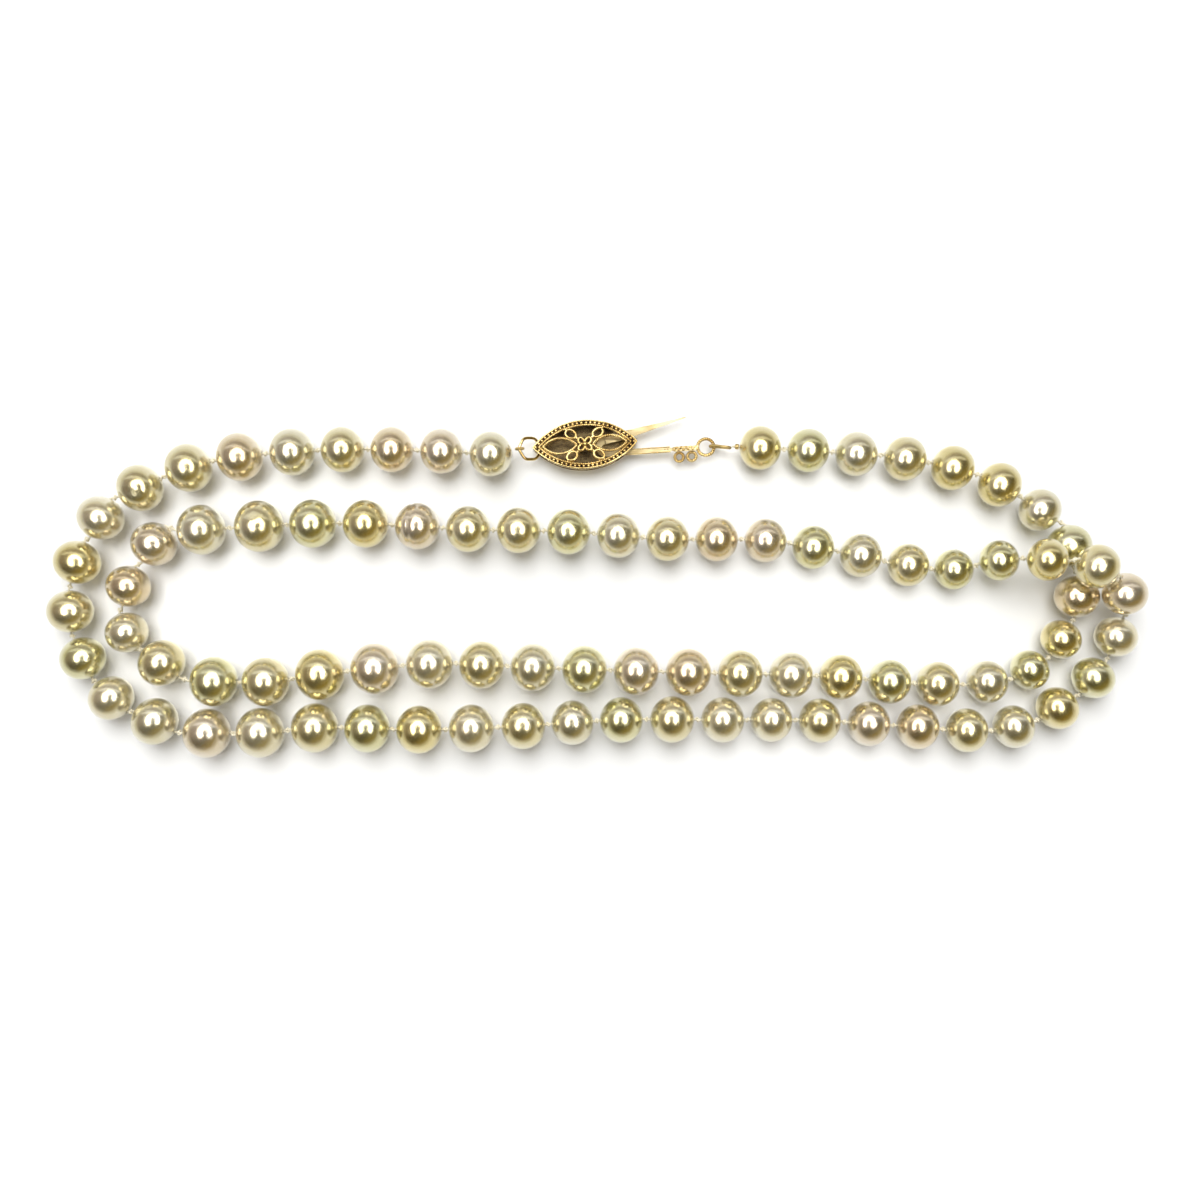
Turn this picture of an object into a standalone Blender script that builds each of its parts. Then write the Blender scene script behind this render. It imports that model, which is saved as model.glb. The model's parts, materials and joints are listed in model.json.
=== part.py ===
"""Pearl necklace, lying folded on a table with its clasp hooked but not snapped shut.

A strand of 85 slightly oblate pearls, knotted one by one on silk, ends in a navette filigree box
and a flat fish-hook tongue. Metres, +Z up, the table is z = 0 and the origin is under the middle
of the folded strand. Lengths in the constants are millimetres, turned into metres by MM.
"""
import math

import bpy
from mathutils import Matrix, Vector

MM = 0.001

# ---------------------------------------------------------------- driving dimensions, millimetres
PEARL_COUNT = 85
KNOT_GAP = 0.72            # bare silk and knot between two neighbouring pearls
PEARL_OBLATENESS = 1.06    # width across the silk over length along it
KNOT_RADIUS = 0.36
SILK_RADIUS = 0.15
BORE_RADIUS = 0.24         # drilled hole of each pearl
PEARL_ARC_STEPS = 6        # facets of a pearl from hole to hole
PEARL_ROUND_STEPS = 8      # facets of a pearl round its silk
KNOT_FILL = 0.9            # a knot inside the silk over the full knot, so it stays in its pearls' neck
END_KNOT_FROM = 0.2        # the last knot starts and ends this far beyond the last pearl's hole
END_KNOT_TO = 0.45
SILK_TAIL = 0.6

CLASP_PLACE = (-1.16, 16.26)   # middle of the filigree box
CLASP_TURN = 3.8               # degrees, anticlockwise from +X
BOX_HALF_LENGTH = 6.07
BOX_HALF_WIDTH = 2.8
BOX_HEIGHT = 2.4
PLATE_THICKNESS = 0.35
PART_GAP = 0.05                # between neighbouring pieces of the clasp
WALL_THICKNESS = 0.3
WALL_FROM = -4.5
WALL_TO = 3.4
POST_RADIUS = 0.27
POST_PLACE = 5.75              # each tip post's distance from the middle of the box
LONG_WINDOW = (1.45, 0.5)      # half length and half width of the two marquise openings
LONG_WINDOW_PLACE = 2.85
SMALL_WINDOW = (0.62, 0.3)     # the four little openings round the flower
SMALL_WINDOW_PLACE = (1.75, 1.3)
FLOWER_PROFILE = ((0.0, 0.4), (0.3, 0.36), (0.42, 0.2), (0.95, 0.24), (1.05, 0.1), (0.95, 0.0),
                  (0.0, 0.0))  # radius and height, from the middle of its top to its underside

HOOK_THICKNESS = 0.4
HOOK_MID_HEIGHT = 1.2
HOOK_LINE = -1.12              # the straight strip's middle line, beside the box's long axis
STRIP_WIDTH = 0.7
BEND_PLACE = 2.3               # where the strip turns back into the spring arm
BEND_RADIUS = 0.72
STRIP_END = 9.8
NECK_WIDTH = 0.36
ARM_ANGLE = 12.7               # degrees between the relaxed arm and the strip
ARM_WIDTH = 1.0
ARM_END = 12.0
# Places along the arm and its width there, as a share of ARM_WIDTH.
ARM_STATIONS = ((4.8, 1.0), (7.2, 0.68), (9.6, 0.36), (11.7, 0.12))
TAB_OUTLINE = ((10.1, -0.25), (10.25, -0.35), (12.85, -0.35), (13.0, -0.25), (13.0, 0.2), (10.1, 0.2))
TAB_THICKNESS = 0.35
COIL_RADIUS = 0.5
COIL_WIRE = 0.2
COIL_PLACES = (("hook_coil_inner", 10.76, -2.07), ("hook_coil_outer", 12.22, -2.09))
END_RING_PLACE = 13.9
END_RING_RADIUS = 0.95
END_RING_WIRE = 0.2

JUMP_RING_PLACE = -6.35
JUMP_RING_HEIGHT = 1.55
JUMP_RING_RADIUS = 1.27
JUMP_RING_WIRE = 0.175
JUMP_RING_TILT = 25.0          # degrees, its far side up towards the first pearl
GIMP_LEFT_LOOP = 0.4
GIMP_LEFT_WIRE = 0.17
GIMP_RIGHT_WIRE = 0.19
GIMP_RIGHT_LOOP = 0.46         # half height at the end ring
GIMP_RIGHT_NARROW = 0.24       # half height at the last knot
GIMP_RIGHT_END = (16.45, -1.42, 1.95)

# The strand's route: pearl number, then x, y and height above the table of that pearl's centre
# beyond its own radius. Pearls between two of these lie on the smooth curve through them.
ROUTE = (
    (1, -11.9, 15.1, 0.0), (3, -23.2, 15.6, 0.0), (5, -34.6, 15.3, 0.0), (7, -46.4, 13.5, 0.0),
    (9, -56.5, 7.8, 0.0), (11, -60.0, -2.9, 0.0), (13, -55.3, -12.8, 0.0), (15, -44.3, -16.8, 0.0),
    (17, -32.0, -16.2, 0.0), (19, -20.1, -16.4, 0.0), (21, -8.2, -16.0, 0.0), (23, 3.0, -15.3, 0.0),
    (25, 14.6, -15.3, 0.0), (27, 25.7, -15.4, 0.0), (29, 36.9, -16.1, 0.0), (31, 47.9, -16.1, 0.0),
    (33, 57.0, -10.5, 0.0), (34, 59.6, -5.8, 0.0), (35, 59.8, -0.9, 1.9), (36, 55.7, 2.1, 4.3),
    (37, 50.5, 2.9, 3.6), (38, 45.9, 2.9, 1.2), (39, 41.1, 1.9, 0.0), (41, 30.4, 3.5, 0.0),
    (43, 19.5, 5.2, 0.0), (45, 8.3, 5.4, 0.0), (47, -3.0, 6.2, 0.0), (49, -14.5, 6.5, 0.0),
    (51, -26.2, 7.1, 0.0), (53, -38.3, 6.8, 0.0), (55, -50.4, 4.8, 0.0), (57, -53.6, -5.3, 0.0),
    (59, -43.5, -10.9, 0.0), (61, -31.4, -10.1, 0.0), (63, -18.9, -8.9, 0.0), (65, -7.1, -9.3, 0.0),
    (67, 4.7, -9.7, 0.0), (69, 16.6, -10.0, 0.0), (71, 28.1, -10.4, 0.0), (73, 39.2, -11.2, 0.0),
    (75, 49.8, -9.6, 0.0), (77, 55.1, -1.2, 0.0), (78, 54.2, 4.6, 0.0), (79, 50.9, 8.7, 0.0),
    (81, 40.9, 13.5, 0.0), (83, 29.9, 15.1, 0.0), (85, 18.9, 15.8, 0.0),
)
LAYOUT_SHIFT = (0.18, 0.05)    # brings the middle of the whole to the origin

# Parts of the strand that lift or slide by themselves: name, first and last pearl.
MOVING_RUNS = (
    ("left_bend", 9, 14),
    ("right_bend", 29, 40),
    ("inner_bend", 55, 58),
    ("clasp_side", 1, 8),
    ("clasp_side", 79, 82),
    ("hook_run", 83, 85),
)


# ---------------------------------------------------------------- scene and materials
def clear_scene():
    for obj in list(bpy.data.objects):
        bpy.data.objects.remove(obj)


def collection(name):
    made = bpy.data.collections.get(name) or bpy.data.collections.new(name)
    if made.name not in bpy.context.scene.collection.children:
        bpy.context.scene.collection.children.link(made)
    return made


def material(name, colour, roughness, metallic):
    made = bpy.data.materials.get(name) or bpy.data.materials.new(name)
    made.use_nodes = True
    shader = made.node_tree.nodes["Principled BSDF"]
    shader.inputs["Base Color"].default_value = (*colour, 1.0)
    shader.inputs["Roughness"].default_value = roughness
    shader.inputs["Metallic"].default_value = metallic
    return made


def pearl_material():
    return material("pearl", (0.86, 0.80, 0.70), 0.18, 0.0)


def silk_material():
    return material("silk", (0.90, 0.86, 0.78), 0.75, 0.0)


def gold_material():
    return material("gold", (0.83, 0.60, 0.26), 0.25, 1.0)


def gimp_material():
    return material("gimp", (0.62, 0.48, 0.24), 0.35, 1.0)


# ---------------------------------------------------------------- placing
def world_matrix(obj):
    """Where an object stands, from its own and its parents' placing."""
    placed = obj.matrix_basis.copy()
    while obj.parent:
        obj = obj.parent
        placed = obj.matrix_basis @ placed
    return placed


def place(obj, world, parent=None):
    if parent:
        obj.parent = parent
        world = world_matrix(parent).inverted() @ world
    obj.matrix_basis = world


def axis_empty(name, world, parent=None):
    """An empty that stands on a joint's axis, for the pieces that turn or slide there."""
    empty = bpy.data.objects.new(name, None)
    empty.empty_display_size = 2 * MM
    NECKLACE.objects.link(empty)
    place(empty, world, parent)
    return empty


def link_part(obj, made_of, world, parent):
    NECKLACE.objects.link(obj)
    obj.data.materials.append(made_of)
    place(obj, world, parent)
    return obj


# ---------------------------------------------------------------- shapes
def arc(centre, radius, start, end, steps):
    """Points on a circular arc from start to end, in degrees, both ends included."""
    points = []
    for step in range(steps + 1):
        angle = math.radians(start + (end - start) * step / steps)
        points.append((centre[0] + radius * math.cos(angle), centre[1] + radius * math.sin(angle)))
    return points


def navette(half_length, half_width, steps, centre=(0.0, 0.0)):
    """A marquise outline: two arcs that meet in a tip at each end."""
    radius = (half_length ** 2 + half_width ** 2) / (2 * half_width)
    spread = math.degrees(math.asin(half_length / radius))
    low = centre[1] + half_width - radius
    high = centre[1] - half_width + radius
    upper = arc((centre[0], low), radius, 90 - spread, 90 + spread, steps)
    lower = arc((centre[0], high), radius, 270 - spread, 270 + spread, steps)
    return upper[:-1] + lower[:-1]


def turned(name, profile, made_of, world, parent=None, closed=False, steps=8):
    """A profile of (radius, height) points in millimetres, turned round its own Z axis."""
    points = [(radius * MM, 0.0, height * MM) for radius, height in profile]
    edges = [(first, first + 1) for first in range(len(points) - 1)]
    if closed:
        edges.append((len(points) - 1, 0))
    mesh = bpy.data.meshes.new(name)
    mesh.from_pydata(points, edges, [])
    obj = bpy.data.objects.new(name, mesh)
    screw = obj.modifiers.new("turn", "SCREW")
    screw.steps = steps
    screw.render_steps = steps
    screw.use_merge_vertices = True
    screw.merge_threshold = 0.000001
    screw.use_smooth_shade = True
    return link_part(obj, made_of, world, parent)


def wire(name, points, radius, made_of, world, parent=None, closed=False, swell=None):
    """A round wire through points in millimetres; swell scales its radius point by point."""
    curve = bpy.data.curves.new(name, "CURVE")
    curve.dimensions = "3D"
    curve.bevel_depth = radius * MM
    curve.bevel_resolution = 2
    curve.use_fill_caps = True
    spline = curve.splines.new("POLY")
    spline.points.add(len(points) - 1)
    spline.use_cyclic_u = closed
    for index, point in enumerate(points):
        spline.points[index].co = (*(Vector(point) * MM), 1.0)
        spline.points[index].radius = swell[index] if swell else 1.0
    return link_part(bpy.data.objects.new(name, curve), made_of, world, parent)


def sheet(name, outlines, low, high, made_of, parent):
    """Flat outlines in the parent's plane, filled and thickened from height low to high."""
    curve = bpy.data.curves.new(name, "CURVE")
    curve.dimensions = "2D"
    curve.fill_mode = "BOTH"
    curve.extrude = (high - low) * MM / 2
    for outline in outlines:
        spline = curve.splines.new("POLY")
        spline.points.add(len(outline) - 1)
        spline.use_cyclic_u = True
        for index, (x, y) in enumerate(outline):
            spline.points[index].co = (x * MM, y * MM, 0.0, 1.0)
    world = world_matrix(parent) @ Matrix.Translation((0, 0, (low + high) * MM / 2))
    return link_part(bpy.data.objects.new(name, curve), made_of, world, parent)


def ring_points(radius, steps):
    return [(x, y, 0.0) for x, y in arc((0.0, 0.0), radius, 0, 360, steps)[:-1]]


# ---------------------------------------------------------------- the strand
def route_point(number):
    """The strand's smooth curve at a pearl number: x, y and lift, in millimetres."""
    numbers = [entry[0] for entry in ROUTE]
    places = [Vector(entry[1:]) for entry in ROUTE]
    last = len(ROUTE) - 1
    here = max(index for index in range(last) if numbers[index] <= number)

    def slope(index):
        before = max(index - 1, 0)
        after = min(index + 1, last)
        if before == index or after == index:
            return (places[after] - places[before]) / (numbers[after] - numbers[before])
        back = numbers[index] - numbers[before]
        ahead = numbers[after] - numbers[index]
        slope_back = (places[index] - places[before]) / back
        slope_ahead = (places[after] - places[index]) / ahead
        return (slope_back * ahead + slope_ahead * back) / (back + ahead)

    span = numbers[here + 1] - numbers[here]
    t = (number - numbers[here]) / span
    start_weight = 2 * t ** 3 - 3 * t ** 2 + 1
    start_slope_weight = t ** 3 - 2 * t ** 2 + t
    end_slope_weight = t ** 3 - t ** 2
    curve = places[here] * start_weight + places[here + 1] * (1 - start_weight)
    curve = curve + slope(here) * span * start_slope_weight
    return curve + slope(here + 1) * span * end_slope_weight


def strand_layout():
    """Each pearl's centre and half length along the silk, in millimetres, by pearl number."""
    flat = {}
    for number in range(1, PEARL_COUNT + 1):
        point = route_point(number)
        lift = max(point.z, 0.0)
        flat[number] = Vector((point.x + LAYOUT_SHIFT[0], point.y + LAYOUT_SHIFT[1], lift))
    centres = {}
    half_lengths = {}
    for number, point in flat.items():
        near = [flat[other] for other in (number - 1, number + 1) if other in flat]
        pitch = sum((other - point).length for other in near) / len(near)
        half_lengths[number] = (pitch - KNOT_GAP) / 2
        radius = half_lengths[number] * PEARL_OBLATENESS
        centres[number] = Vector((point.x, point.y, radius + point.z))
    return centres, half_lengths


def pearl_groups():
    """The strand's nodes: neighbouring pearls two by two, and the odd one at the hook."""
    groups = [(number, number + 1) for number in range(1, PEARL_COUNT, 2)]
    groups.append((PEARL_COUNT,))
    return groups


def group_axis(group, centres):
    """The straight line that a group's drilled hole follows, pointing along the strand."""
    if len(group) == 2:
        return (centres[group[1]] - centres[group[0]]).normalized()
    return (centres[group[0]] - centres[group[0] - 1]).normalized()


def group_ends(group, centres, half_lengths):
    """Where the silk enters and leaves a group of pearls."""
    along = group_axis(group, centres)
    enter = centres[group[0]] - along * hole_depth(half_lengths[group[0]])
    leave = centres[group[-1]] + along * hole_depth(half_lengths[group[-1]])
    return enter, leave


def hole_depth(half_length):
    """From a pearl's centre to the rim of its hole, along the silk."""
    return half_length * math.cos(math.asin(BORE_RADIUS / (half_length * PEARL_OBLATENESS)))


def pearl_arc(middle, half_length, first_radius, last_radius):
    """Half an ellipse from the rim above to the rim below, as (radius, height) points."""
    across = half_length * PEARL_OBLATENESS
    start = math.asin(first_radius / across)
    end = math.pi - math.asin(last_radius / across)
    points = []
    for step in range(PEARL_ARC_STEPS + 1):
        angle = start + (end - start) * step / PEARL_ARC_STEPS
        if step * 2 == PEARL_ARC_STEPS:
            angle = math.pi / 2
        points.append((across * math.sin(angle), middle + half_length * math.cos(angle)))
    return points


def pearl_profile(group, centres, half_lengths):
    """Outer side from top to bottom, then up the drilled hole; the first pearl is at the bottom."""
    if len(group) == 1:
        return pearl_arc(0.0, half_lengths[group[0]], BORE_RADIUS, BORE_RADIUS)
    apart = (centres[group[1]] - centres[group[0]]).length
    upper = pearl_arc(apart, half_lengths[group[1]], BORE_RADIUS, KNOT_RADIUS)
    lower = pearl_arc(0.0, half_lengths[group[0]], KNOT_RADIUS, BORE_RADIUS)
    return upper + lower


def axis_frame(origin, along):
    """Z along the silk and X as nearly straight down as it can be, so facets meet the table."""
    down = Vector((0, 0, -1))
    x_axis = (down - along * down.dot(along)).normalized()
    y_axis = along.cross(x_axis)
    turn = Matrix((x_axis, y_axis, along)).transposed().to_4x4()
    return Matrix.Translation(origin * MM) @ turn


def build_pearls(centres, half_lengths, run_axes):
    for group in pearl_groups():
        name = "pearl_" + "_".join(f"{number:02d}" for number in group)
        world = axis_frame(centres[group[0]], group_axis(group, centres))
        profile = pearl_profile(group, centres, half_lengths)
        turned(name, profile, pearl_material(), world, run_axes.get(group[0]),
               closed=True, steps=PEARL_ROUND_STEPS)


def build_silk(centres, half_lengths):
    """One silk from the first pearl to the last: straight through each group, knotted between."""
    points = []
    swell = []
    knot = KNOT_RADIUS / SILK_RADIUS
    leave = None
    for group in pearl_groups():
        enter, next_leave = group_ends(group, centres, half_lengths)
        if leave:
            points.append((leave + enter) / 2)
            swell.append(knot * KNOT_FILL)
        points.extend((enter, next_leave))
        swell.extend((1.0, 1.0))
        leave = next_leave
    along = group_axis((PEARL_COUNT,), centres)
    points.extend((leave + along * END_KNOT_FROM, leave + along * END_KNOT_TO, leave + along * SILK_TAIL))
    swell.extend((knot, knot, 1.0))
    wire("silk_cord", points, SILK_RADIUS, silk_material(), Matrix.Identity(4), swell=swell)


def pivot_knot(number, centres, half_lengths):
    """The middle of the knot after a pearl, where a moving run turns against the rest."""
    before = next(group for group in pearl_groups() if group[-1] == number)
    after = next(group for group in pearl_groups() if group[0] == number + 1)
    leave = group_ends(before, centres, half_lengths)[1]
    enter = group_ends(after, centres, half_lengths)[0]
    return (leave + enter) / 2


def run_pivots(centres, half_lengths):
    """Each run's two knots: the run turns about the straight line through them."""
    ends = {"left_bend": (8, 14), "right_bend": (28, 40), "inner_bend": (54, 58),
            "clasp_side": (8, 78)}
    pivots = {}
    for name, (first, last) in ends.items():
        pivots[name] = (pivot_knot(first, centres, half_lengths),
                        pivot_knot(last, centres, half_lengths))
    return pivots


def build_run_axes(centres, half_lengths):
    """An empty on each run's axis, and which one each moving pearl hangs on."""
    empties = {}
    for name, (start, _) in run_pivots(centres, half_lengths).items():
        empties[name] = axis_empty(name + "_axis", Matrix.Translation(start * MM))
    hook_at = pivot_knot(82, centres, half_lengths)
    empties["hook_run"] = axis_empty("hook_run_slide", Matrix.Translation(hook_at * MM),
                                     empties["clasp_side"])
    axes = {}
    for name, first, last in MOVING_RUNS:
        for number in range(first, last + 1):
            axes[number] = empties[name]
    return empties, axes


# ---------------------------------------------------------------- the clasp
def clasp_frame():
    x = CLASP_PLACE[0] + LAYOUT_SHIFT[0]
    y = CLASP_PLACE[1] + LAYOUT_SHIFT[1]
    spot = Matrix.Translation((x * MM, y * MM, 0))
    return spot @ Matrix.Rotation(math.radians(CLASP_TURN), 4, "Z")


def box_half_width(along):
    """Half the box's width at a place along its length."""
    radius = (BOX_HALF_LENGTH ** 2 + BOX_HALF_WIDTH ** 2) / (2 * BOX_HALF_WIDTH)
    return math.sqrt(radius ** 2 - along ** 2) - radius + BOX_HALF_WIDTH


def wall_outline(side):
    outer = []
    inner = []
    steps = 10
    for step in range(steps + 1):
        along = WALL_FROM + (WALL_TO - WALL_FROM) * step / steps
        edge = box_half_width(along) - PART_GAP
        outer.append((along, side * edge))
        inner.append((along, side * (edge - WALL_THICKNESS)))
    return outer + inner[::-1]


def build_box(frame):
    """Back plate, two side walls, two tip posts, the openwork cover and its flower."""
    gold = gold_material()
    rim = navette(BOX_HALF_LENGTH, BOX_HALF_WIDTH, 14)
    floor_top = PLATE_THICKNESS + PART_GAP
    cover_low = BOX_HEIGHT - PLATE_THICKNESS
    sheet("clasp_back_plate", [rim], 0.0, PLATE_THICKNESS, gold, frame)
    for side, name in ((1, "clasp_wall_north"), (-1, "clasp_wall_south")):
        sheet(name, [wall_outline(side)], floor_top, cover_low - PART_GAP, gold, frame)
    for place_x, name in ((-POST_PLACE, "clasp_ring_post"), (POST_PLACE, "clasp_hook_post")):
        outline = arc((place_x, 0.0), POST_RADIUS, 0, 360, 12)[:-1]
        sheet(name, [outline], floor_top, cover_low - PART_GAP, gold, frame)
    windows = []
    for side in (-1, 1):
        windows.append(navette(*LONG_WINDOW, 5, (side * LONG_WINDOW_PLACE, 0.0)))
        for edge in (-1, 1):
            middle = (side * SMALL_WINDOW_PLACE[0], edge * SMALL_WINDOW_PLACE[1])
            windows.append(navette(*SMALL_WINDOW, 4, middle))
    sheet("clasp_filigree_cover", [rim] + windows, cover_low, BOX_HEIGHT, gold, frame)
    top = world_matrix(frame) @ Matrix.Translation((0, 0, (BOX_HEIGHT + PART_GAP) * MM))
    turned("clasp_flower", FLOWER_PROFILE, gold, top, frame, steps=12)


def build_jump_ring(frame):
    ring = world_matrix(frame)
    ring = ring @ Matrix.Translation((JUMP_RING_PLACE * MM, 0, JUMP_RING_HEIGHT * MM))
    ring = ring @ Matrix.Rotation(math.radians(JUMP_RING_TILT), 4, "Y")
    axis = axis_empty("jump_ring_axis", ring, frame)
    wire("jump_ring", ring_points(JUMP_RING_RADIUS, 20), JUMP_RING_WIRE, gold_material(), ring,
         axis, closed=True)


def build_gimp_left(frame):
    """The silk's wire-wound loop round the far side of the jump ring."""
    tilt = math.radians(JUMP_RING_TILT)
    along = JUMP_RING_PLACE - JUMP_RING_RADIUS * math.cos(tilt)
    height = JUMP_RING_HEIGHT + JUMP_RING_RADIUS * math.sin(tilt)
    upright = world_matrix(frame) @ Matrix.Translation((along * MM, 0, height * MM))
    upright = upright @ Matrix.Rotation(math.radians(90), 4, "X")
    wire("gimp_left", ring_points(GIMP_LEFT_LOOP, 12), GIMP_LEFT_WIRE, gimp_material(), upright, frame,
         closed=True)


def hook_strip_outline():
    """The straight strip, its neck towards the end ring and its half turn at the other end."""
    half = STRIP_WIDTH / 2
    neck = NECK_WIDTH / 2
    neck_end = END_RING_PLACE - END_RING_RADIUS - END_RING_WIRE - PART_GAP
    middle = (BEND_PLACE, HOOK_LINE + BEND_RADIUS)
    outer = arc(middle, BEND_RADIUS + half, 270, 90, 10)
    inner = arc(middle, BEND_RADIUS - half, 90, 270, 8)
    low, high = HOOK_LINE - half, HOOK_LINE + half
    end = [(STRIP_END, high), (STRIP_END, HOOK_LINE + neck), (neck_end, HOOK_LINE + neck),
           (neck_end, HOOK_LINE - neck), (STRIP_END, HOOK_LINE - neck), (STRIP_END, low)]
    return outer + inner + end


def arm_outline():
    """The spring arm, from the half turn to its pointed end."""
    line = HOOK_LINE + 2 * BEND_RADIUS
    rise = math.tan(math.radians(ARM_ANGLE))
    start = BEND_PLACE + 0.1
    half = STRIP_WIDTH / 2
    upper = [(start, line + half)]
    lower = [(start, line - half)]
    for along, share in ARM_STATIONS:
        middle = line + (along - BEND_PLACE) * rise
        upper.append((along, middle + share * ARM_WIDTH / 2))
        lower.append((along, middle - share * ARM_WIDTH / 2))
    tip = (ARM_END, line + (ARM_END - BEND_PLACE) * rise)
    return lower + [tip] + upper[::-1]


def build_hook(frame, hook_axis):
    gold = gold_material()
    low = HOOK_MID_HEIGHT - HOOK_THICKNESS / 2
    high = HOOK_MID_HEIGHT + HOOK_THICKNESS / 2
    hook_frame = axis_empty("hook_frame", world_matrix(frame), hook_axis)
    sheet("hook_strip", [hook_strip_outline()], low, high, gold, hook_frame)

    bend = Vector((BEND_PLACE, HOOK_LINE + 2 * BEND_RADIUS, 0)) * MM
    arm_axis = axis_empty("spring_arm_axis", world_matrix(frame) @ Matrix.Translation(bend), hook_frame)
    arm = [(x - BEND_PLACE, y - HOOK_LINE - 2 * BEND_RADIUS) for x, y in arm_outline()]
    sheet("hook_spring_arm", [arm], low, high, gold, arm_axis)

    tab = [(x, y + HOOK_LINE) for x, y in TAB_OUTLINE]
    tab_low = high + PART_GAP
    sheet("hook_thumb_tab", [tab], tab_low, tab_low + TAB_THICKNESS, gold, hook_frame)

    height = HOOK_MID_HEIGHT * MM
    for name, x, y in COIL_PLACES:
        spot = world_matrix(frame) @ Matrix.Translation((x * MM, y * MM, height))
        wire(name, ring_points(COIL_RADIUS, 12), COIL_WIRE, gold, spot, hook_frame, closed=True)

    spot = Matrix.Translation((END_RING_PLACE * MM, HOOK_LINE * MM, height))
    wire("hook_end_ring", ring_points(END_RING_RADIUS, 16), END_RING_WIRE, gold,
         world_matrix(frame) @ spot, hook_frame, closed=True)
    return hook_frame


def build_gimp_right(frame, hook_frame):
    """The long wire-wound silk loop from the hook's end ring up to the last knot."""
    start = Vector((END_RING_PLACE + END_RING_RADIUS - 0.05, HOOK_LINE, HOOK_MID_HEIGHT))
    end = Vector(GIMP_RIGHT_END)
    along = (end - start).normalized()
    up = Vector((0, 0, 1)) - along * along.z
    up.normalize()
    points = []
    for step in range(7):
        angle = math.radians(90 + 180 * step / 6)
        turn = along * math.cos(angle) + up * math.sin(angle)
        points.append(start + turn * GIMP_RIGHT_LOOP)
    for step in range(5):
        angle = math.radians(-90 + 180 * step / 4)
        turn = along * math.cos(angle) + up * math.sin(angle)
        points.append(end + turn * GIMP_RIGHT_NARROW)
    wire("gimp_right", points, GIMP_RIGHT_WIRE, gimp_material(), world_matrix(frame), hook_frame, closed=True)


def build_clasp(empties):
    frame = axis_empty("clasp_frame", clasp_frame(), empties["clasp_side"])
    build_box(frame)
    build_jump_ring(frame)
    build_gimp_left(frame)
    hook_frame = build_hook(frame, empties["hook_run"])
    build_gimp_right(frame, hook_frame)


def build_necklace():
    centres, half_lengths = strand_layout()
    empties, run_axes = build_run_axes(centres, half_lengths)
    build_pearls(centres, half_lengths, run_axes)
    build_silk(centres, half_lengths)
    build_clasp(empties)


clear_scene()
NECKLACE = collection("pearl_necklace")
build_necklace()
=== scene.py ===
"""Pearl necklace on a white table: the looks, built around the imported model.

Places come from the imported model's own solids. Lengths in the constants are millimetres.
"""

import json
import math
import random

import bmesh
import bpy
import numpy as np
from mathutils import Matrix, Vector, noise


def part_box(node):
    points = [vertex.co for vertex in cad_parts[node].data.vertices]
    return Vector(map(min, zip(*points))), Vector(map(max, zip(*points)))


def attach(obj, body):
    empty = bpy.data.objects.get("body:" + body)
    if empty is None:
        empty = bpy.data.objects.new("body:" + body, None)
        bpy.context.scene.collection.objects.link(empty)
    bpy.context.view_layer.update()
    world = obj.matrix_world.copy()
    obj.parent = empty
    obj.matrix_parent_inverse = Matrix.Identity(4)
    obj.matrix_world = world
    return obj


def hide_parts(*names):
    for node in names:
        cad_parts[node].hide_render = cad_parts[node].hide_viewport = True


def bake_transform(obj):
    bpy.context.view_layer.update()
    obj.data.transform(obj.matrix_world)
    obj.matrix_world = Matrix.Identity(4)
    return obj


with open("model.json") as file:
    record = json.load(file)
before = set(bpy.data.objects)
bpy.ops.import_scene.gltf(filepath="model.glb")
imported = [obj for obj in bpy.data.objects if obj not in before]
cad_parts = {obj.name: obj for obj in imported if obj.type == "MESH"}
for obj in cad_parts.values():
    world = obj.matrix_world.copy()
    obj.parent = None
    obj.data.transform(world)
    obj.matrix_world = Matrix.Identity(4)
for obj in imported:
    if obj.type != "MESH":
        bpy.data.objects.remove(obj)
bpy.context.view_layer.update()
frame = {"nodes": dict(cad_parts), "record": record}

MM = 0.001
UP = Vector((0, 0, 1))
HOLE_LINE = Vector((0, 0, 1))  # the way the silk runs, in a pearl's own frame

# ---------------------------------------------------------------- pearls, millimetres
OBLATENESS = 1.06          # a pearl's width across the silk over its length along it
EQUATOR_BAND = 0.005       # corners this near the widest one are on a pearl's equator
BORE_RADIUS = 0.24
BORE_RIM = 0.04            # how much wider the hole is where it opens
BORE_RIM_DEPTH = 0.05
BORE_MIDDLE = 0.6          # share of the half length that the hole's middle stretch takes
PEARL_RINGS = 30
PEARL_SEGMENTS = 44

# The skin's waves. Depths are shares of a pearl's radius.
SKIN_SCALE = 0.32          # slow waves in a millimetre
SKIN_STEPS = (7.3, 3.1, 1.7)  # from one pearl to the next in the noise
WAVE_DEPTH = 0.022
RIPPLE_DEPTH = 0.003
RIPPLES_IN_WAVE = 4.0
SKIN_START = 1.5           # in bore radii; the hole itself stays round

# Blemishes: a groove's place along the silk; a pit's lean along and across the silk, and width.
GROOVES = {50: 0.7}
GROOVE_WIDTH = 0.22
GROOVE_DEPTH = 0.035
PITS = {8: ((0.1, 0.25, 0.16), (0.35, 0.1, 0.14), (-0.1, 0.45, 0.14)), 53: ((-0.05, -0.4, 0.2),)}
PIT_DEPTH = 0.04

# One letter for each pearl's tone, from the filigree box round to the hook.
TONES = ("sprcsrccwocgwspwcgowcsgcwwcprcsogwpc"
         "oggcsgprcsgccpogcsprwcgcopwcsgprcwog"
         "csgorgsoocsgo")

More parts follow.
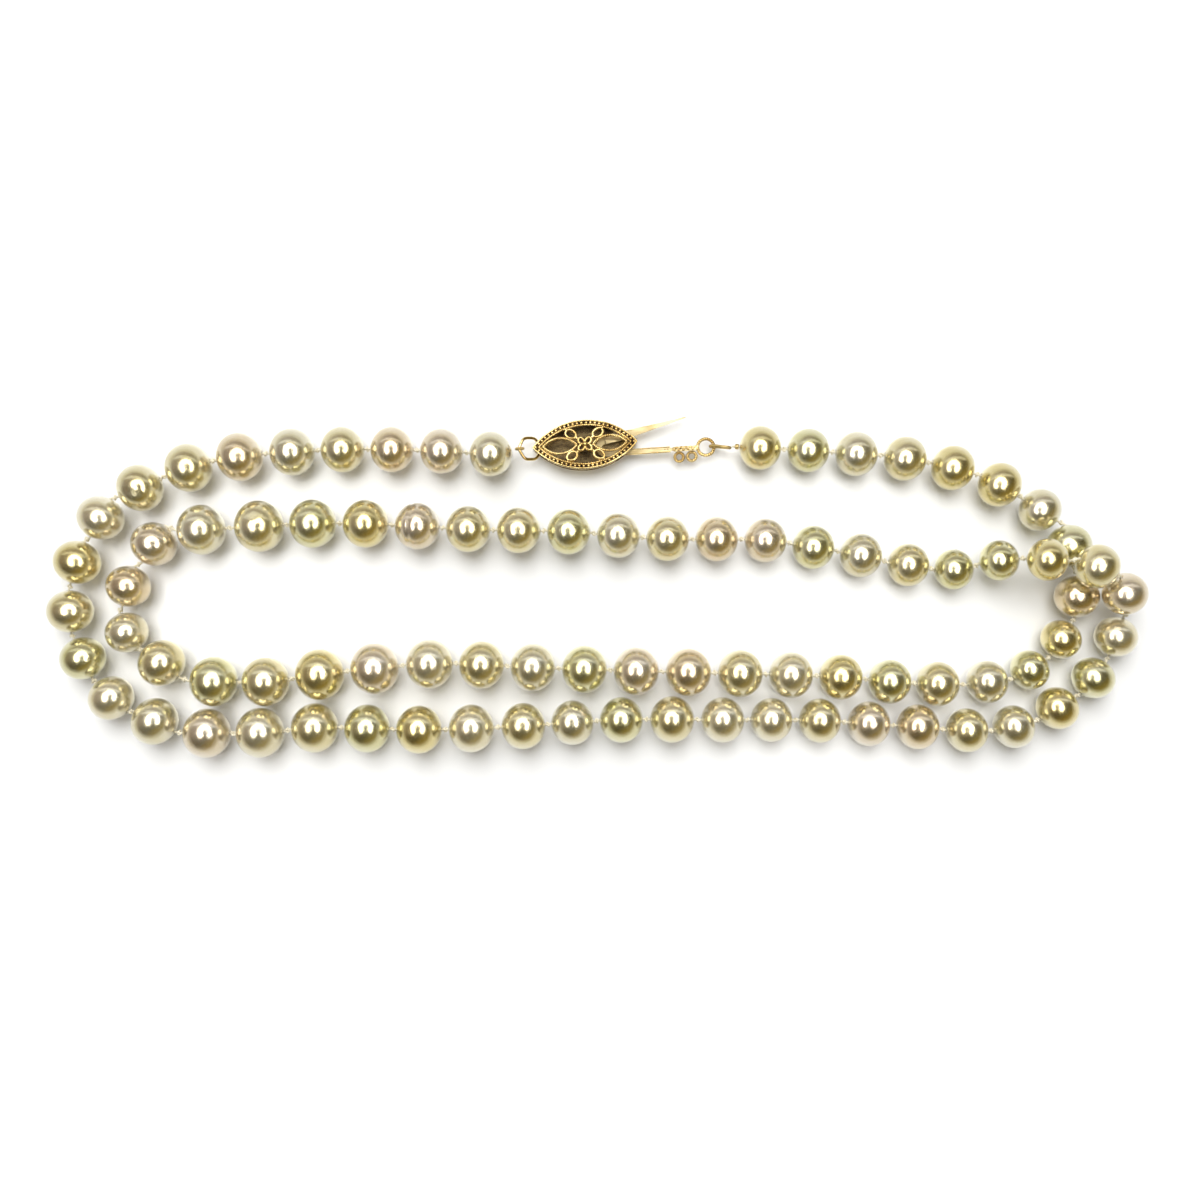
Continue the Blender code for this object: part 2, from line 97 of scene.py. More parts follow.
# ---------------------------------------------------------------- silk, millimetres
SILK_RADIUS = 0.13
SILK_TUCK = 0.35           # how far a stretch of silk reaches into a pearl
HOLE_END_DEPTH = 0.03      # how far inside a pearl's end its hole's rim is taken to lie
KNOT_THREAD = 0.105
KNOT_REACH = 0.082         # scale of the overhand knot's curve
KNOT_HEIGHT = 1.4          # how far the curve goes over and under, before it is scaled
KNOT_LEAN = (0.5, 1.1)     # least and most, in radians
KNOT_STEPS = 40
KNOT_SEED = 85
PULLED_AFTER = 82          # the pearl after which the silk is drawn out when the clasp closes
ROPE_STRANDS = 2
STEPS_IN_TURN = 8          # points in one turn of a rope's strand

# ---------------------------------------------------------------- clasp, millimetres
BOX_HALF_LENGTH = 6.07
BOX_HALF_WIDTH = 2.8
COVER_LOW = 2.05
COVER_HIGH = 2.4
BAND_TOP = COVER_LOW + 0.16
BEAD_COUNT = 50
ROPE_PITCH = 0.42

# How far inside the box's outline each part of the rim lies, along and across the box.
BAND_HOLE_INSET = (0.85, 0.62)
RIM_WIRE_INSET = (0.1, 0.08)
MILGRAIN_INSET = (0.42, 0.33)
INNER_ROPE_INSET = (0.78, 0.57)

JUMP_RING_RADIUS = 1.27
JUMP_RING_WIRE = 0.175
JUMP_RING_TILT = 25.0      # degrees
JUMP_RING_WAVE = 0.03      # its six soft bumps, as a share of the radius

# The openwork in the quarter towards the hook and the north; the other quarters mirror it.
OVAL_MIDDLE = (1.55, 1.25)
OVAL_SIZE = (0.64, 0.46)   # half axes
OVAL_TURN = 28             # degrees
RIM_TIE = ((1.95, 1.6), (2.15, 1.9))
FLOWER_TIE = ((1.0, 0.9), (0.6, 0.5))
FLOWER_TIE_RISE = 0.05

FLOWER_BASE = (0.86, 0.8)  # half axes
PETAL_MIDDLE = (0.56, 0.52)  # how far out a petal's middle is, along and across the box
PETAL_SIZE = (0.4, 0.3)    # half axes
PETAL_HEIGHT = COVER_HIGH + 0.12
FLOWER_BALL_HEIGHT = COVER_HIGH + 0.28

# The hook's small roped rings: node, radius, wire, pitch of the twist.
HOOK_RINGS = (("hook_end_ring", 0.95, 0.12, 0.5), ("hook_coil_inner", 0.5, 0.11, 0.34),
              ("hook_coil_outer", 0.5, 0.11, 0.34))

# The wire-wound silk loops: node, body, radius.
GIMP_LOOPS = (("gimp_left", "clasp_side", 0.12), ("gimp_right", "hook_run", 0.13))
GIMP_WIRE = 0.05
GIMP_PITCH = 0.13

HOOK_LINE = -1.12          # the straight strip's middle line, beside the box's long axis
STRIP_TOP = 1.4
TAB_TOP = 1.8
TAB_KNOBS = 11
KNOB_SIDES = (-0.16, 0.08)  # how far even and odd knobs lie beside the hook's line
STRIP_BORDER = (6.3, 9.7)  # from and to, along the strip
STRIP_EDGE = 0.29          # from the hook's line out to the border wires
STRIP_MARKS = (9.15, 9.5)  # the two punched dents, along the strip

# ---------------------------------------------------------------- camera and room
CAMERA_PLACE = (0.75, -1.55, 140.0)
CAMERA_WIDTH = 137.2       # width of the view at the height of the pearls' middles
PEARL_MIDDLE = 2.6
TABLE_SIZE = 2000.0
TABLE_GAP = 0.02           # from the necklace's lowest point down to the table's top

# The room's colours, from the south-east round to the north-west.
ROOM_SHADES = ((0.12, (0.26, 0.18, 0.004)), (0.42, (0.06, 0.045, 0.004)), (0.62, (0.07, 0.048, 0.02)),
               (0.9, (0.26, 0.21, 0.19)))
ROOM_LEAN = (-0.62, 0.72, 0.3)   # the direction in which those colours change
ROOM_REACH = 0.9                 # how far each way along it they run
ROOM_WALLS = (0.86, 0.84, 0.76)  # pale cloth low down all round the table
WALL_HEIGHTS = (0.05, 0.42)      # where the cloth starts to fade and where it ends, as a sine
ROOM_FILL = (0.37, 0.36, 0.33)   # what the room gives to dull surfaces
ROOM_SEEN = (0.94, 0.94, 0.94)   # what a camera sees beyond the table


# ---------------------------------------------------------------- node materials
def shader_of(name):
    made = bpy.data.materials.new(name)
    made.use_nodes = True
    return made, made.node_tree, made.node_tree.nodes["Principled BSDF"]


def noise_node(tree, scale, detail=3.0, stretch=(1, 1, 1)):
    """Noise in the piece's own coordinates; scale is in features per metre."""
    coordinates = tree.nodes.new("ShaderNodeTexCoord")
    mapping = tree.nodes.new("ShaderNodeMapping")
    mapping.inputs["Scale"].default_value = stretch
    texture = tree.nodes.new("ShaderNodeTexNoise")
    texture.inputs["Scale"].default_value = scale
    texture.inputs["Detail"].default_value = detail
    tree.links.new(coordinates.outputs["Object"], mapping.inputs["Vector"])
    tree.links.new(mapping.outputs["Vector"], texture.inputs["Vector"])
    return texture


def ramp_node(tree, source, stops):
    ramp = tree.nodes.new("ShaderNodeValToRGB")
    while len(ramp.color_ramp.elements) < len(stops):
        ramp.color_ramp.elements.new(0.5)
    for element, (place, colour) in zip(ramp.color_ramp.elements, stops):
        element.position = place
        element.color = (*colour, 1.0)
    tree.links.new(source, ramp.inputs["Fac"])
    return ramp


def range_node(tree, source, low, high):
    spread = tree.nodes.new("ShaderNodeMapRange")
    spread.inputs["To Min"].default_value = low
    spread.inputs["To Max"].default_value = high
    tree.links.new(source, spread.inputs["Value"])
    return spread


def bump_node(tree, shader, source, distance, strength=1.0):
    bump = tree.nodes.new("ShaderNodeBump")
    bump.inputs["Distance"].default_value = distance
    bump.inputs["Strength"].default_value = strength
    tree.links.new(source, bump.inputs["Height"])
    tree.links.new(bump.outputs["Normal"], shader.inputs["Normal"])


# Letter: body colour, lighter overtone, deeper colour, share of mirror-like nacre.
PEARL_TONES = {
    "c": ((0.75, 0.68, 0.43), (0.78, 0.73, 0.53), (0.68, 0.59, 0.30), 0.91),
    "w": ((0.77, 0.71, 0.51), (0.80, 0.76, 0.61), (0.71, 0.63, 0.40), 0.85),
    "r": ((0.76, 0.645, 0.44), (0.79, 0.71, 0.55), (0.68, 0.54, 0.32), 0.91),
    "p": ((0.76, 0.665, 0.50), (0.79, 0.73, 0.62), (0.69, 0.58, 0.39), 0.88),
    "g": ((0.71, 0.68, 0.42), (0.75, 0.73, 0.51), (0.64, 0.60, 0.29), 0.95),
    "s": ((0.74, 0.69, 0.50), (0.78, 0.75, 0.61), (0.68, 0.61, 0.38), 0.88),
    "o": ((0.75, 0.66, 0.35), (0.78, 0.71, 0.46), (0.68, 0.57, 0.24), 0.95),
}


def pearl_material(tone):
    body, overtone, deep, mirror = PEARL_TONES[tone]
    made, tree, shader = shader_of("nacre_" + tone)
    patches = noise_node(tree, 230.0, 2.0)
    colour = ramp_node(tree, patches.outputs["Fac"], ((0.32, deep), (0.5, body), (0.68, overtone)))
    tree.links.new(colour.outputs["Color"], shader.inputs["Base Color"])
    mist = noise_node(tree, 900.0, 4.0)
    rough = range_node(tree, mist.outputs["Fac"], 0.19, 0.29)
    tree.links.new(rough.outputs["Result"], shader.inputs["Roughness"])
    growth = noise_node(tree, 1500.0, 5.0, (1, 1, 2.5))
    bump_node(tree, shader, growth.outputs["Fac"], 0.00003, 0.6)
    shader.inputs["Metallic"].default_value = mirror
    shader.inputs["IOR"].default_value = 1.55
    shader.inputs["Coat Weight"].default_value = 0.8
    shader.inputs["Coat Roughness"].default_value = 0.06
    shader.inputs["Subsurface Weight"].default_value = 0.3
    shader.inputs["Subsurface Radius"].default_value = (0.0012, 0.001, 0.0007)
    shader.inputs["Subsurface Scale"].default_value = 1.0
    shader.inputs["Sheen Weight"].default_value = 0.3
    shader.inputs["Sheen Roughness"].default_value = 0.35
    shader.inputs["Sheen Tint"].default_value = (1.0, 0.97, 0.88, 1.0)
    return made


def silk_material():
    made, tree, shader = shader_of("silk_thread")
    fibre = noise_node(tree, 4000.0)
    colour = ramp_node(tree, fibre.outputs["Fac"], ((0.3, (0.62, 0.55, 0.36)), (0.7, (0.88, 0.83, 0.68))))
    tree.links.new(colour.outputs["Color"], shader.inputs["Base Color"])
    rough = range_node(tree, fibre.outputs["Fac"], 0.55, 0.8)
    tree.links.new(rough.outputs["Result"], shader.inputs["Roughness"])
    bump_node(tree, shader, fibre.outputs["Fac"], 0.00005)
    shader.inputs["Sheen Weight"].default_value = 0.3
    return made


def gold_material(name, light, dark, rough, grain, scratches=(1, 1, 1), mirror=1.0):
    """Gold between two tones: grain is its noise per metre, scratches the stretch of its lines."""
    made, tree, shader = shader_of(name)
    cloud = noise_node(tree, grain, 4.0)
    colour = ramp_node(tree, cloud.outputs["Fac"], ((0.36, dark), (0.62, light)))
    tree.links.new(colour.outputs["Color"], shader.inputs["Base Color"])
    dull = range_node(tree, cloud.outputs["Fac"], *rough)
    tree.links.new(dull.outputs["Result"], shader.inputs["Roughness"])
    lines = noise_node(tree, 1800.0, 4.0, scratches)
    bump_node(tree, shader, lines.outputs["Fac"], 0.00004, 0.5)
    shader.inputs["Metallic"].default_value = mirror
    return made


def plate_material_with_painted_shade():
    """The box's back plate: bright gold below, with painted shade on the faces that look up, inside the
    box.
    """
    made = gold_material("gold_back_plate_painted_shade", (0.88, 0.72, 0.42), (0.70, 0.52, 0.26), (0.18, 0.3), 500.0)
    tree = made.node_tree
    shader = tree.nodes["Principled BSDF"]
    bright = shader.inputs["Base Color"].links[0].from_socket
    facing_way = tree.nodes.new("ShaderNodeTexCoord")
    parts = tree.nodes.new("ShaderNodeSeparateXYZ")
    tree.links.new(facing_way.outputs["Normal"], parts.inputs["Vector"])
    # Painted shade: faces that look up are mixed towards dark gold.
    choose = tree.nodes.new("ShaderNodeMix")
    choose.data_type = "RGBA"
    tree.links.new(parts.outputs["Z"], choose.inputs["Factor"])
    tree.links.new(bright, choose.inputs["A"])
    choose.inputs["B"].default_value = (0.24, 0.18, 0.09, 1.0)
    tree.links.new(choose.outputs["Result"], shader.inputs["Base Color"])
    return made


def table_material():
    made, tree, shader = shader_of("white_table")
    cloud = noise_node(tree, 12.0, 2.0)
    colour = ramp_node(tree, cloud.outputs["Fac"], ((0.3, (0.90, 0.90, 0.895)), (0.7, (0.93, 0.93, 0.93))))
    tree.links.new(colour.outputs["Color"], shader.inputs["Base Color"])
    shader.inputs["Roughness"].default_value = 0.28
    shader.inputs["Specular IOR Level"].default_value = 0.6
    return made


def glow_material(name, colour, strength):
    made = bpy.data.materials.new(name)
    made.use_nodes = True
    tree = made.node_tree
    tree.nodes.clear()
    glow = tree.nodes.new("ShaderNodeEmission")
    glow.inputs["Color"].default_value = (*colour, 1.0)
    glow.inputs["Strength"].default_value = strength
    output = tree.nodes.new("ShaderNodeOutputMaterial")
    tree.links.new(glow.outputs["Emission"], output.inputs["Surface"])
    return made


NACRE = {tone: pearl_material(tone) for tone in PEARL_TONES}
SILK = silk_material()
GOLD = gold_material("gold_polished", (0.88, 0.71, 0.36), (0.50, 0.35, 0.13), (0.08, 0.18), 500.0)
GOLD_FLAT = gold_material("gold_rolled", (0.78, 0.64, 0.36), (0.60, 0.46, 0.21), (0.16, 0.24), 700.0,
                          (0.2, 3, 1), 0.6)
# Near-black gold painted into the clasp's recesses as shade: the cover's band, the flower's base and the
# strip's dents.
GOLD_PAINTED_SHADE = gold_material("gold_recess_painted_shade", (0.07, 0.04, 0.015), (0.02, 0.01, 0.004), (0.2, 0.35), 900.0,
                          mirror=0.9)
PLATE_WITH_PAINTED_SHADE = plate_material_with_painted_shade()
GIMP = gold_material("gimp_wire", (0.72, 0.55, 0.25), (0.40, 0.30, 0.12), (0.28, 0.45), 1500.0)


# ---------------------------------------------------------------- making pieces
def add(obj, made_of, body, nodes=()):
    """Link a finished piece, give it its material, and let it ride on its body."""
    bpy.context.scene.collection.objects.link(obj)
    obj.data.materials.append(made_of)
    if nodes:
        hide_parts(*nodes)
    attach(obj, body)


def wires(name, paths, radius, resolution=3):
    """A curve object of round wires: each path is (points in millimetres, closed, swell)."""
    curve = bpy.data.curves.new(name, "CURVE")
    curve.dimensions = "3D"
    curve.bevel_depth = radius * MM
    curve.bevel_resolution = resolution
    curve.use_fill_caps = True
    for points, closed, swell in paths:
        spline = curve.splines.new("POLY")
        spline.points.add(len(points) - 1)
        spline.use_cyclic_u = closed
        for index, point in enumerate(points):
            spline.points[index].co = (*(Vector(point) * MM), 1.0)
            spline.points[index].radius = swell
        spline.use_smooth = True
    return bpy.data.objects.new(name, curve)


def flat_piece(name, outlines, low, high, edge):
    """Flat outlines with rounded edges, from height low to high, in the XY plane."""
    curve = bpy.data.curves.new(name, "CURVE")
    curve.dimensions = "2D"
    curve.fill_mode = "BOTH"
    curve.extrude = ((high - low) / 2 - edge) * MM
    curve.bevel_depth = edge * MM
    curve.bevel_resolution = 2
    curve.offset = -edge * MM
    for outline in outlines:
        spline = curve.splines.new("POLY")
        spline.points.add(len(outline) - 1)
        spline.use_cyclic_u = True
        for index, (x, y) in enumerate(outline):
            spline.points[index].co = (x * MM, y * MM, 0.0, 1.0)
    obj = bpy.data.objects.new(name, curve)
    obj.matrix_world = Matrix.Translation((0, 0, (low + high) / 2 * MM))
    return obj


def arc(centre, radius, start, end, steps):
    """Points along an arc, from angle start to angle end, in degrees."""
    points = []
    for step in range(steps + 1):
        angle = math.radians(start + (end - start) * step / steps)
        points.append((centre[0] + radius * math.cos(angle), centre[1] + radius * math.sin(angle)))
    return points


def navette(half_length, half_width, steps, centre=(0.0, 0.0)):
    """A marquise outline: two arcs that meet in a tip at each end."""
    radius = (half_length ** 2 + half_width ** 2) / (2 * half_width)
    spread = math.degrees(math.asin(half_length / radius))
    low = centre[1] + half_width - radius
    high = centre[1] - half_width + radius
    upper = arc((centre[0], low), radius, 90 - spread, 90 + spread, steps)
    lower = arc((centre[0], high), radius, 270 - spread, 270 + spread, steps)
    return upper[:-1] + lower[:-1]


def ellipse(centre, half_length, half_width, turn, steps=24):
    """A closed ellipse whose long axis is turned by an angle in degrees."""
    turned = math.radians(turn)
    points = []
    for step in range(steps):
        angle = 2 * math.pi * step / steps
        x = half_length * math.cos(angle)
        y = half_width * math.sin(angle)
        points.append((centre[0] + x * math.cos(turned) - y * math.sin(turned),
                       centre[1] + x * math.sin(turned) + y * math.cos(turned)))
    return points


def raised(outline, height):
    """A flat outline's points at one height."""
    return [(x, y, height) for x, y in outline]


def resampled(points, spacing, closed=True):
    """Points at an even spacing along a polygon."""
    corners = [Vector(point) for point in points]
    if closed:
        corners.append(corners[0])
    lengths = [(b - a).length for a, b in zip(corners, corners[1:])]
    total = sum(lengths)
    count = max(int(round(total / spacing)), 8)
    made = []
    here = 0
    passed = 0.0
    for step in range(count if closed else count + 1):
        target = total * step / count
        while here < len(lengths) - 1 and passed + lengths[here] < target:
            passed += lengths[here]
            here += 1
        share = min((target - passed) / lengths[here], 1.0)
        made.append(corners[here].lerp(corners[here + 1], share))
    return made


def rope(points, reach, pitch, closed=True):
    """Paths of strands that wind round a path: reach is their distance from it."""
    line = resampled(points, pitch / STEPS_IN_TURN, closed)
    turns = round(len(line) / STEPS_IN_TURN)
    paths = []
    for strand in range(ROPE_STRANDS):
        wound = []
        for index, point in enumerate(line):
            before = line[index - 1] if closed or index else line[index]
            after = line[(index + 1) % len(line)] if closed or index + 1 < len(line) else line[index]
            along = (after - before).normalized()
            side = along.cross(UP).normalized()
            over = side.cross(along)
            angle = 2 * math.pi * (turns * index / len(line) + strand / ROPE_STRANDS)
            wound.append(point + (side * math.cos(angle) + over * math.sin(angle)) * reach)
        paths.append((wound, closed, 1.0))
    return paths


# ---------------------------------------------------------------- where the pearls are
def pearl_node_names():
    return sorted(name for name in frame["nodes"] if name.startswith("pearl_"))


def body_of_node(node):
    bodies = frame["record"]["behaviour"]["bodies"]
    return next(body for body, members in bodies.items() if node in members)


def node_points(node):
    """A node's corners as rows, in millimetres."""
    return np.array([vertex.co for vertex in frame["nodes"][node].data.vertices], float) / MM


def pearl_places():
    """Each pearl's centre, silk direction, half length and width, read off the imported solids."""
    names = pearl_node_names()
    middles = [node_points(name).mean(0) for name in names]
    pearls = []
    for index, name in enumerate(names):
        points = node_points(name)
        numbers = [int(part) for part in name.split("_")[1:]]
        if len(numbers) == 2:
            corners = np.unique(points.round(5), axis=0)
            along = np.linalg.svd(corners - middles[index])[2][0]
            onward = middles[index + 1] - middles[index]
            if along @ onward < 0:
                along = -along
        else:
            along = middles[index] - np.array(pearls[-1]["centre"])
            along = along / np.linalg.norm(along)
        spread = (points - middles[index]) @ along
        radius = np.linalg.norm(points - middles[index] - np.outer(spread, along), axis=1)
        halves = (spread < 0, spread >= 0) if len(numbers) == 2 else (np.full(len(points), True),)
        for number, half in zip(numbers, halves):
            widest = np.where(half, radius, 0).max()
            equator = half & (radius > widest - EQUATOR_BAND)
            pearls.append({
                "number": number, "node": name, "body": body_of_node(name),
                "centre": Vector(points[equator].mean(0)), "along": Vector(along),
                "across": float(widest), "half": float(widest) / OBLATENESS,
            })
    return pearls


def follow_the_silk(pearls):
    """Turn each pearl's hole towards its neighbours, except beside a knot that a joint turns on."""
    for before, pearl, after in zip(pearls, pearls[1:], pearls[2:]):
        if before["body"] == pearl["body"] == after["body"]:
            pearl["along"] = (after["centre"] - before["centre"]).normalized()
    return pearls


PEARLS = follow_the_silk(pearl_places())


# ---------------------------------------------------------------- pearls
def surface_share(number, position, top):
    """How far a pearl's skin lies inside its plain ellipsoid, as a share of its radius."""
    spot = position * SKIN_SCALE + Vector([number * step for step in SKIN_STEPS])
    wave = 0.5 + 0.5 * noise.noise(spot)
    ripple = 0.5 + 0.5 * noise.noise(spot * RIPPLES_IN_WAVE)
    share = WAVE_DEPTH * wave + RIPPLE_DEPTH * ripple
    if number in GROOVES:
        share += GROOVE_DEPTH * math.exp(-((position.z - GROOVES[number]) / GROOVE_WIDTH) ** 2)
    for along, across, width in PITS.get(number, ()):
        pit = (top + HOLE_LINE * along + top.cross(HOLE_LINE) * across).normalized()
        gap = (position.normalized() - pit).length
        share += PIT_DEPTH * math.exp(-(gap / width) ** 2)
    return share


def pearl_skin(pearl):
    """An off-round pearl with a drilled hole right through, turned ring by ring about Z."""
    number = pearl["number"]
    across = pearl["across"]
    half = pearl["half"]
    rim = math.asin((BORE_RADIUS + BORE_RIM) / across)
    profile = [(BORE_RADIUS, -half * BORE_MIDDLE), (BORE_RADIUS, half * BORE_MIDDLE)]
    profile.append((BORE_RADIUS, half * math.cos(rim) - BORE_RIM_DEPTH))
    for ring in range(PEARL_RINGS + 1):
        angle = rim + (math.pi - 2 * rim) * ring / PEARL_RINGS
        profile.append((across * math.sin(angle), half * math.cos(angle)))
    profile.append((BORE_RADIUS, -half * math.cos(rim) + BORE_RIM_DEPTH))
    top = facing(pearl["along"]).to_3x3().inverted() @ UP
    mesh = bmesh.new()
    rings = []
    for radius, height in profile:
        ring = []
        for segment in range(PEARL_SEGMENTS):
            angle = 2 * math.pi * segment / PEARL_SEGMENTS
            point = Vector((radius * math.cos(angle), radius * math.sin(angle), height))
            if radius > BORE_RADIUS * SKIN_START:
                point = point * (1 - surface_share(number, point, top))
            ring.append(mesh.verts.new(point * MM))
        rings.append(ring)
    for upper, lower in zip(rings, rings[1:] + rings[:1]):
        for segment in range(PEARL_SEGMENTS):
            after = (segment + 1) % PEARL_SEGMENTS
            mesh.faces.new((upper[segment], lower[segment], lower[after], upper[after]))
    bmesh.ops.recalc_face_normals(mesh, faces=mesh.faces)
    data = bpy.data.meshes.new(f"pearl_skin_{number:02d}")
    mesh.to_mesh(data)
    mesh.free()
    data.shade_smooth()
    return bpy.data.objects.new(data.name, data)


def facing(along):
    """A turn that takes Z to a direction."""
    return along.to_track_quat("Z", "Y").to_matrix().to_4x4()


def build_pearls():
    for pearl in PEARLS:
        skin = pearl_skin(pearl)
        skin.matrix_world = Matrix.Translation(pearl["centre"] * MM) @ facing(pearl["along"])
        tone = TONES[pearl["number"] - 1]
        add(skin, NACRE[tone], pearl["body"], [pearl["node"]])


# ---------------------------------------------------------------- silk and knots
def hole_end(pearl, side):
    """The rim of a pearl's hole: side 1 is where the silk leaves it, -1 where it enters."""
    return pearl["centre"] + pearl["along"] * side * (pearl["half"] - HOLE_END_DEPTH)


def overhand_knot(centre, along, chance):
    """A trefoil pulled tight round the silk."""
    turn = Matrix.Rotation(chance.uniform(0, 2 * math.pi), 3, "Z")
    lean = Matrix.Rotation(chance.uniform(*KNOT_LEAN), 3, "X")
    place = facing(along).to_3x3() @ turn @ lean
    points = []
    for step in range(KNOT_STEPS):
        t = 2 * math.pi * step / KNOT_STEPS
        point = Vector((math.sin(t) + 2 * math.sin(2 * t), math.cos(t) - 2 * math.cos(2 * t),
                        -KNOT_HEIGHT * math.sin(3 * t)))
        points.append(centre + place @ (point * KNOT_REACH))
    return points


def build_silk():
    """The thread and its knots, one piece for each body; a gap's thread is split at its knot."""
    chance = random.Random(KNOT_SEED)
    swell = SILK_RADIUS / KNOT_THREAD
    paths = {pearl["body"]: [] for pearl in PEARLS}
    for before, after in zip(PEARLS, PEARLS[1:]):
        leave = hole_end(before, 1)
        enter = hole_end(after, -1)
        middle = (leave + enter) / 2
        if before["number"] != PULLED_AFTER:
            first_half = [leave - before["along"] * SILK_TUCK, leave, middle]
            last_half = [middle, enter, enter + after["along"] * SILK_TUCK]
            paths[before["body"]].append((first_half, False, swell))
            paths[after["body"]].append((last_half, False, swell))
        knot = overhand_knot(middle, enter - leave, chance)
        paths[before["body"]].append((knot, True, 1.0))
    last = PEARLS[-1]
    out = hole_end(last, 1)
    end_thread = [out - last["along"] * 0.4, out + last["along"] * 0.9]
    paths[last["body"]].append((end_thread, False, swell))
    for body, made in paths.items():
        silk = wires("silk_" + body, made, KNOT_THREAD, resolution=2)
        add(silk, SILK, body, ["silk_cord"] if body == "strand" else ())


def build_pulled_silk():
    """The silk between the last pearl that stays and the first that slides with the hook."""
    start = hole_end(PEARLS[PULLED_AFTER - 1], 1)
    end = hole_end(PEARLS[PULLED_AFTER], -1)
    along = (end - start).normalized()
    tuck = along * 0.8
    first = start - tuck
    last = end + tuck
    turn = facing(along).to_3x3()
    steps = 24
    sides = 10
    mesh = bmesh.new()
    rings = []
    for step in range(steps + 1):
        centre = first.lerp(last, step / steps)
        ring = []
        for side in range(sides):
            angle = 2 * math.pi * side / sides
            reach = Vector((math.cos(angle), math.sin(angle), 0)) * SILK_RADIUS
            ring.append(mesh.verts.new((centre + turn @ reach) * MM))
        rings.append(ring)
    for one, other in zip(rings, rings[1:]):
        for side in range(sides):
            after = (side + 1) % sides
            mesh.faces.new((one[side], one[after], other[after], other[side]))
    mesh.faces.new(rings[0][::-1])
    mesh.faces.new(rings[-1])
    data = bpy.data.meshes.new("silk_slack")
    mesh.to_mesh(data)
    mesh.free()
    data.shade_smooth()
    slack = bpy.data.objects.new("silk_slack", data)
    bpy.context.scene.collection.objects.link(slack)
    data.materials.append(SILK)
    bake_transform(slack)


# ---------------------------------------------------------------- the clasp
def box_middle(node):
    """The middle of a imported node's box, in metres."""
    low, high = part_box(node)
    return (low + high) / 2


def clasp_frame():
    """X along the filigree box towards the hook, Z up, standing on the table."""
    ring_post = box_middle("clasp_ring_post")
    hook_post = box_middle("clasp_hook_post")
    along = hook_post - ring_post
    along.z = 0
    along.normalize()
    side = UP.cross(along)
    middle = (ring_post + hook_post) / 2
    middle.z = 0
    turn = Matrix((along, side, UP)).transposed().to_4x4()
    return Matrix.Translation(middle) @ turn


CLASP = clasp_frame()


def clasp_piece(obj, made_of, body, nodes=()):
    """Add a piece that was made in the clasp's own frame."""
    obj.matrix_world = CLASP @ obj.matrix_world
    add(obj, made_of, body, nodes)


def joined_balls(name, spots, size):
    """Flattened balls in one mesh: spots are (centre, turn in radians), size is their half axes."""
    mesh = bmesh.new()
    for spot, turn in spots:
        place = Matrix.Translation(Vector(spot) * MM) @ Matrix.Rotation(turn, 4, "Z")
        place = place @ Matrix.Diagonal((*(Vector(size) * MM), 1.0))
        bmesh.ops.create_uvsphere(mesh, u_segments=12, v_segments=8, radius=1.0, matrix=place)
    data = bpy.data.meshes.new(name)
    mesh.to_mesh(data)
    mesh.free()
    data.shade_smooth()
    return bpy.data.objects.new(name, data)


def box_outline(inset, steps):
    """The box's navette outline, drawn in by an inset along and across the box."""
    along, across = inset
    return navette(BOX_HALF_LENGTH - along, BOX_HALF_WIDTH - across, steps)


def build_cover_rim():
    """The cover's flat band, painted near-black as shade, and on it a wire, a row of beads and a rope,
    from the edge in.
    """
    outlines = [box_outline((0.0, 0.0), 40), box_outline(BAND_HOLE_INSET, 40)]
    # The band is near-black gold: painted shade between the rim's wires and beads.
    band = flat_piece("cover_band", outlines, COVER_LOW, BAND_TOP, edge=0.03)
    clasp_piece(band, GOLD_PAINTED_SHADE, "clasp_side", ["clasp_filigree_cover"])

    outer = raised(box_outline(RIM_WIRE_INSET, 48), BAND_TOP + 0.03)
    clasp_piece(wires("cover_rim_wire", [(outer, True, 1.0)], radius=0.1), GOLD, "clasp_side")

    middle = resampled(raised(box_outline(MILGRAIN_INSET, 60), BAND_TOP + 0.05), spacing=0.05)
    spots = []
    for bead in range(BEAD_COUNT):
        index = int(len(middle) * bead / BEAD_COUNT)
        onward = middle[(index + 1) % len(middle)] - middle[index - 1]
        spots.append((middle[index], math.atan2(onward.y, onward.x)))
    clasp_piece(joined_balls("cover_milgrain", spots, size=(0.17, 0.16, 0.15)), GOLD, "clasp_side")

    inner = raised(box_outline(INNER_ROPE_INSET, 60), BAND_TOP + 0.03)
    twisted = rope(inner, reach=0.06, pitch=ROPE_PITCH)
    inner_rope = wires("cover_inner_rope", twisted, radius=0.075, resolution=2)
    clasp_piece(inner_rope, GOLD, "clasp_side")


def build_openwork():
    """Two roped marquise loops end to end, and four ovals tied to the rim and to the flower."""
    height = BAND_TOP + 0.02
    loop_place = 2.86
    loop_half_length = 1.95
    loop_half_width = 0.88
    loops = []
    for side in (-1, 1):
        outline = navette(loop_half_length, loop_half_width, 30, (side * loop_place, 0.0))
        loops += rope(raised(outline, height), reach=0.075, pitch=ROPE_PITCH)
    clasp_piece(wires("cover_marquise_loops", loops, radius=0.115, resolution=2), GOLD, "clasp_side")

    scrolls = []
    for side in (-1, 1):
        for edge in (-1, 1):
            middle = (side * OVAL_MIDDLE[0], edge * OVAL_MIDDLE[1])
            oval = ellipse(middle, *OVAL_SIZE, side * edge * OVAL_TURN)
            rim_tie = [(side * x, edge * y, height) for x, y in RIM_TIE]
            flower_tie = [(side * x, edge * y, height + rise)
                          for (x, y), rise in zip(FLOWER_TIE, (0, FLOWER_TIE_RISE))]
            scrolls.append((raised(oval, height), True, 1.3))
            scrolls.append((rim_tie, False, 1.0))
            scrolls.append((flower_tie, False, 1.4))
    clasp_piece(wires("cover_scrolls", scrolls, radius=0.125), GOLD, "clasp_side")


